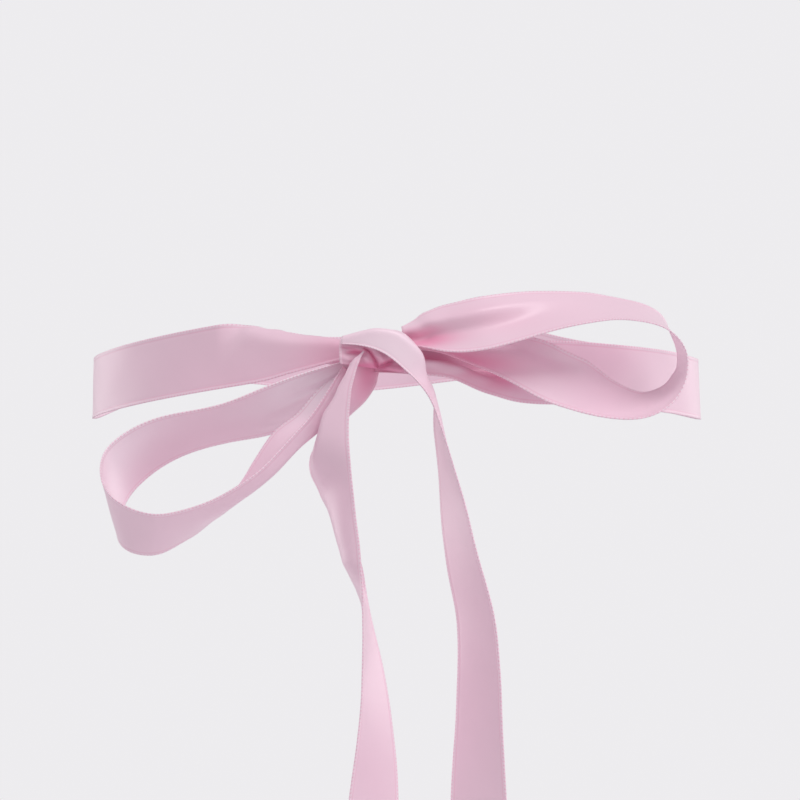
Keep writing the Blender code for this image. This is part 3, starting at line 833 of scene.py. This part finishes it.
@dataclass(frozen=True)
class SatinFinish:
    """Pale pink double-face satin: long warp floats, so gloss lies across the ribbon.

    A bead runs along each edge, with a groove inside it and a row of picots, the small turns of the
    weft, on its outside. Each has a span in from the edge, in mm, a share of its tint, and a height. The
    bead's paler tint is a painted highlight and the groove's deeper one is painted shade.
    Clouds are slight changes of shade, and floats the threads. Both are noise, finer the larger its
    scale along and across the ribbon.
    """

    name: str
    open_pink: tuple[float, float, float] = (0.85, 0.60, 0.715)
    # The deep pink is painted shade, and the pale pink is painted light and the bead's painted highlight.
    painted_shade_pink: tuple[float, float, float] = (0.80, 0.24, 0.42)
    painted_light_pink: tuple[float, float, float] = (0.97, 0.83, 0.91)
    # This pink is painted shade in the groove and the picots' own deeper pink.
    groove_shade_and_picot_pink: tuple[float, float, float] = (0.84, 0.42, 0.57)
    roughness: float = 0.40
    anisotropy: float = 0.5
    specular: float = 0.5
    sheen: float = 0.3
    sheen_roughness: float = 0.35
    sheen_tint: tuple[float, float, float] = (1.0, 0.93, 0.97)
    bead: tuple[float, float] = (-1.0, 1.05)
    bead_highlight_share: float = 0.2
    bead_height: float = 0.5
    groove: tuple[float, float] = (1.2, 1.65)
    groove_shade_share: float = 0.32
    picot: tuple[float, float] = (-1.0, 0.7)
    picot_tint: float = 0.5
    picot_height: float = 0.45
    picot_pitch: float = 1.5
    cloud_scale: tuple[float, float, float] = (18.0, 40.0, 1.0)
    cloud_detail: float = 2.0
    cloud_shades: tuple[float, float] = (0.97, 1.03)
    float_scale: tuple[float, float, float] = (700.0, 9000.0, 1.0)
    float_detail: float = 3.0
    float_height: float = 0.25
    bump: float = 0.35
    bump_depth: float = 0.12

    def material(self) -> bpy.types.Material:
        """The finish as a node material on the weave map."""
        made = bpy.data.materials.new(self.name)
        made.use_nodes = True
        tree = made.node_tree
        nodes = NodeBench(tree)
        shader = tree.nodes["Principled BSDF"]
        shader.inputs["Roughness"].default_value = self.roughness
        shader.inputs["Anisotropic"].default_value = self.anisotropy
        shader.inputs["Sheen Weight"].default_value = self.sheen
        shader.inputs["Sheen Roughness"].default_value = self.sheen_roughness
        shader.inputs["Sheen Tint"].default_value = (*self.sheen_tint, 1.0)
        shader.inputs["Specular IOR Level"].default_value = self.specular
        place = nodes.add("ShaderNodeUVMap", uv_map=WEAVE_MAP).outputs["UV"]
        split = nodes.add("ShaderNodeSeparateXYZ", links={"Vector": place})
        run, far = split.outputs["X"], split.outputs["Y"]
        edge = nodes.math("MINIMUM", far, nodes.math("SUBTRACT", RIBBON_WIDTH * MM, far))
        bead = nodes.band(edge, self.bead)
        groove = nodes.band(edge, self.groove)
        picot = nodes.math("MULTIPLY", nodes.dots(run, self.picot_pitch), nodes.band(edge, self.picot))
        colour = self._colour(nodes, place, (bead, groove, picot))
        tree.links.new(colour, shader.inputs["Base Color"])
        tree.links.new(self._bumps(nodes, place, (bead, picot)), shader.inputs["Normal"])
        tangent = nodes.add("ShaderNodeTangent", direction_type="UV_MAP", uv_map=WEAVE_MAP)
        tree.links.new(tangent.outputs["Tangent"], shader.inputs["Tangent"])
        return made

    def _colour(
        self, nodes: NodeBench, place: bpy.types.NodeSocket, marks: tuple[bpy.types.NodeSocket, ...]
    ) -> bpy.types.NodeSocket:
        """The cloth's colour, with its painted shade and painted light laid in.

        Args:
            nodes: the bench for the material's nodes.
            place: the place on the weave map.
            marks: one on the bead, the groove and the picots, and zero off them.

        Returns:
            The colour.
        """
        bead, groove, picot = marks
        # The painted shade attribute: above zero it mixes in the deep pink as painted shade, below zero
        # the pale pink as painted light.
        painted_shade = nodes.add("ShaderNodeAttribute", attribute_name=PAINTED_SHADE).outputs["Fac"]
        pale = nodes.math("MAXIMUM", nodes.math("MULTIPLY", painted_shade, -1.0), 0.0)
        colour = nodes.mix(nodes.math("MAXIMUM", painted_shade, 0.0), self.open_pink, self.painted_shade_pink)
        # pale is the painted light, how far below zero the attribute goes.
        colour = nodes.mix(pale, colour, self.painted_light_pink)
        # Painted shade in the groove beside each bead.
        colour = nodes.mix(nodes.math("MULTIPLY", groove, self.groove_shade_share), colour, self.groove_shade_and_picot_pink)
        # Painted highlight along the bead.
        colour = nodes.mix(nodes.math("MULTIPLY", bead, self.bead_highlight_share), colour, self.painted_light_pink)
        colour = nodes.mix(nodes.math("MULTIPLY", picot, self.picot_tint), colour, self.groove_shade_and_picot_pink)
        shade = nodes.add("ShaderNodeHueSaturation", links={"Color": colour})
        clouds = nodes.noise(place, self.cloud_scale, self.cloud_detail)
        nodes.feed(shade.inputs["Value"], nodes.ranged(clouds, *self.cloud_shades))
        return shade.outputs["Color"]

    def _bumps(
        self, nodes: NodeBench, place: bpy.types.NodeSocket, marks: tuple[bpy.types.NodeSocket, ...]
    ) -> bpy.types.NodeSocket:
        """The bead, the picots and the threads as a bent normal.

        Args:
            nodes: the bench for the material's nodes.
            place: the place on the weave map.
            marks: one on the bead and the picots, and zero off them.

        Returns:
            The normal.
        """
        bead, picot = marks
        height = nodes.math("MULTIPLY", bead, self.bead_height)
        height = nodes.math("ADD", height, nodes.math("MULTIPLY", picot, self.picot_height))
        floats = nodes.noise(place, self.float_scale, self.float_detail)
        height = nodes.math("ADD", height, nodes.math("MULTIPLY", floats, self.float_height))
        bump = nodes.add("ShaderNodeBump", links={"Height": height})
        bump.inputs["Strength"].default_value = self.bump
        bump.inputs["Distance"].default_value = self.bump_depth * MM
        return bump.outputs["Normal"]


@dataclass
class NodeBench:
    """Puts shader nodes together in one node tree.

    soft is how wide the ends of a band are, in mm, and dot_round how softly a dot starts. The mix node
    has several sockets of each name, so its colour sockets go by number.
    """

    tree: bpy.types.NodeTree
    soft: float = 0.12
    dot_round: float = 0.3
    mix_colours: tuple[int, int] = (6, 7)
    mixed_colour: int = 2

    def add(self, kind: str, links: dict | None = None, **settings: object) -> bpy.types.Node:
        """A node of a kind.

        Args:
            kind: Blender's name of the node's type.
            links: sockets that feed its inputs, by input name or number.
            settings: its own properties.

        Returns:
            The node.
        """
        node = self.tree.nodes.new(kind)
        for key, value in settings.items():
            setattr(node, key, value)
        for key, socket in (links or {}).items():
            self.tree.links.new(socket, node.inputs[key])
        return node

    def feed(self, socket: bpy.types.NodeSocket, value: object) -> None:
        """Sets an input to a number or colour, or links a socket to it."""
        if isinstance(value, bpy.types.NodeSocket):
            self.tree.links.new(value, socket)
        elif isinstance(value, tuple):
            socket.default_value = (*value, 1.0) if len(value) == 3 else value
        else:
            socket.default_value = value

    def math(self, operation: str, *values: object) -> bpy.types.NodeSocket:
        """The result of a sum on numbers and sockets."""
        node = self.add("ShaderNodeMath", operation=operation)
        for socket, value in zip(node.inputs, values):
            self.feed(socket, value)
        return node.outputs["Value"]

    def mix(self, share: object, first: object, second: object) -> bpy.types.NodeSocket:
        """Two colours, mixed."""
        node = self.add("ShaderNodeMix", data_type="RGBA")
        self.feed(node.inputs["Factor"], share)
        for socket, colour in zip(self.mix_colours, (first, second)):
            self.feed(node.inputs[socket], colour)
        return node.outputs[self.mixed_colour]

    def ranged(self, value: bpy.types.NodeSocket, low: float, high: float) -> bpy.types.NodeSocket:
        """A value from 0 to 1, laid between two others."""
        node = self.add("ShaderNodeMapRange", links={"Value": value})
        node.inputs["To Min"].default_value = low
        node.inputs["To Max"].default_value = high
        return node.outputs["Result"]

    def band(self, value: bpy.types.NodeSocket, span: tuple[float, float]) -> bpy.types.NodeSocket:
        """One where a length lies in a span, in mm, with soft ends, and zero elsewhere."""
        ends = []
        for at, before, after in ((span[0], 0.0, 1.0), (span[1], 1.0, 0.0)):
            node = self.add("ShaderNodeMapRange", interpolation_type="SMOOTHSTEP", links={"Value": value})
            node.inputs["From Min"].default_value = (at - self.soft) * MM
            node.inputs["From Max"].default_value = (at + self.soft) * MM
            node.inputs["To Min"].default_value = before
            node.inputs["To Max"].default_value = after
            ends.append(node.outputs["Result"])
        return self.math("MULTIPLY", *ends)

    def dots(self, run: bpy.types.NodeSocket, pitch: float) -> bpy.types.NodeSocket:
        """A row of soft dots along the ribbon, at a pitch in mm."""
        turn = self.math("MULTIPLY", run, 2 * math.pi / (pitch * MM))
        wave = self.math("SINE", turn)
        return self.math("SMOOTH_MAX", wave, 0.0, self.dot_round)

    def noise(
        self, place: bpy.types.NodeSocket, scale: tuple[float, float, float], detail: float
    ) -> bpy.types.NodeSocket:
        """Noise on the weave map, drawn out by a scale each way."""
        mapping = self.add("ShaderNodeMapping", links={"Vector": place})
        mapping.inputs["Scale"].default_value = scale
        node = self.add("ShaderNodeTexNoise", links={"Vector": mapping.outputs["Vector"]})
        node.inputs["Scale"].default_value = 1.0
        node.inputs["Detail"].default_value = detail
        return node.outputs["Fac"]


@dataclass(frozen=True)
class SoftBox:
    """A square studio light."""

    name: str
    place: tuple[float, float, float]
    size: float
    power: float
    colour: tuple[float, float, float] = (1.0, 0.985, 0.975)
    aim: tuple[float, float, float] = (0.0, -0.05, -0.08)

    def build(self) -> None:
        """Hangs the light, facing the bow."""
        lamp = bpy.data.lights.new(self.name, "AREA")
        lamp.size = self.size
        lamp.energy = self.power
        lamp.color = self.colour
        light = bpy.data.objects.new(self.name, lamp)
        light.location = self.place
        light.visible_camera = False
        beam = Vector(self.aim) - Vector(self.place)
        light.rotation_euler = beam.to_track_quat("-Z", "Y").to_euler()
        bpy.context.scene.collection.objects.link(light)


@dataclass
class Studio:
    """A plain pale floor, soft light and the camera, in metres.

    The floor starts to fade at the first of floor_fade, a share of its reach, and is clear at the
    second. air_light is how much of the backdrop's light falls on the sash.
    """

    backdrop: tuple[float, float, float] = (0.85, 0.84, 0.86)
    air_light: float = 0.57
    floor_drop: float = 0.012
    floor_reach: float = 1.7
    floor_fade: tuple[float, float] = (0.35, 0.97)
    floor_sides: int = 96
    floor_roughness: float = 0.9
    floor_specular: float = 0.1
    camera_place: tuple[float, float, float] = (0.0013, -1.2, -0.0115)
    camera_lens: float = 129.15
    camera_sensor: float = 36.0
    boxes: tuple[SoftBox, ...] = (
        SoftBox("top", (0.4, -0.9, 1.6), 1.1, 17.5),
        SoftBox("left", (-1.5, 0.9, 0.2), 1.2, 10.0),
        SoftBox("right", (1.5, 1.2, 0.3), 1.2, 8.0),
        SoftBox("right_front", (1.6, -0.4, -0.3), 1.2, 3.5),
        SoftBox("front", (0.6, -2.2, 0.4), 1.4, 4.5),
    )

    def build(self) -> None:
        """Makes the floor, the light and the camera."""
        self._build_floor()
        self._build_air()
        for box in self.boxes:
            box.build()
        self._build_camera()

    def _build_floor(self) -> None:
        """A pale floor that fades into the air a little way off."""
        form = bmesh.new()
        bmesh.ops.create_circle(form, cap_ends=True, segments=self.floor_sides, radius=self.floor_reach)
        bmesh.ops.translate(form, verts=form.verts, vec=(0, 0, CAD_BOX[0].z - self.floor_drop))
        mesh = bpy.data.meshes.new("floor")
        form.to_mesh(mesh)
        form.free()
        floor = bpy.data.objects.new("floor", mesh)
        bpy.context.scene.collection.objects.link(floor)
        mesh.materials.append(self._floor_finish())

    def _floor_finish(self) -> bpy.types.Material:
        """Matt pale floor paint, clear at its rim."""
        made = bpy.data.materials.new("floor_paint")
        made.use_nodes = True
        tree = made.node_tree
        nodes = NodeBench(tree)
        shader = tree.nodes["Principled BSDF"]
        shader.inputs["Base Color"].default_value = (*self.backdrop, 1.0)
        shader.inputs["Roughness"].default_value = self.floor_roughness
        shader.inputs["Specular IOR Level"].default_value = self.floor_specular
        place = nodes.add("ShaderNodeTexCoord").outputs["Object"]
        off = nodes.add("ShaderNodeVectorMath", operation="LENGTH", links={0: place})
        fade = nodes.add("ShaderNodeMapRange", interpolation_type="SMOOTHSTEP")
        tree.links.new(off.outputs["Value"], fade.inputs["Value"])
        fade.inputs["From Min"].default_value = self.floor_fade[0] * self.floor_reach
        fade.inputs["From Max"].default_value = self.floor_fade[1] * self.floor_reach
        clear = nodes.add("ShaderNodeBsdfTransparent")
        mix = nodes.add("ShaderNodeMixShader")
        ends = (fade.outputs["Result"], shader.outputs["BSDF"], clear.outputs["BSDF"])
        for socket, end in zip(mix.inputs, ends):
            tree.links.new(end, socket)
        tree.links.new(mix.outputs["Shader"], tree.nodes["Material Output"].inputs["Surface"])
        return made

    def _build_air(self) -> None:
        """Even pale light from all round."""
        world = bpy.data.worlds.new("studio_air")
        world.use_nodes = True
        nodes = NodeBench(world.node_tree)
        air = world.node_tree.nodes["Background"]
        air.inputs["Color"].default_value = (*self.backdrop, 1.0)
        seen = nodes.add("ShaderNodeLightPath").outputs["Is Camera Ray"]
        world.node_tree.links.new(nodes.ranged(seen, self.air_light, 1.0), air.inputs["Strength"])
        bpy.context.scene.world = world
        bpy.context.scene.view_settings.view_transform = "Standard"

    def _build_camera(self) -> None:
        """The camera, level with the bow and facing it."""
        lens = bpy.data.cameras.new("bow_camera")
        lens.sensor_width = self.camera_sensor
        lens.lens = self.camera_lens
        camera = bpy.data.objects.new("bow_camera", lens)
        camera.location = self.camera_place
        camera.rotation_euler = (math.radians(90), 0, 0)
        bpy.context.scene.collection.objects.link(camera)
        bpy.context.scene.camera = camera


def main() -> None:
    """Builds the sash, piece by piece, and the studio round it."""
    logging.basicConfig(level=logging.INFO)
    for assembly in (WaistBand(), Bow(), Knot(), Tails()):
        for stretch in assembly.stretches():
            piece = stretch.build()
            stretch.dress(piece, SatinFinish(stretch.name + "_satin").material())
            LOG.info("%s: %.0f mm of ribbon", stretch.name, stretch.length())
    Studio().build()


if __name__ == "__main__":
    main()
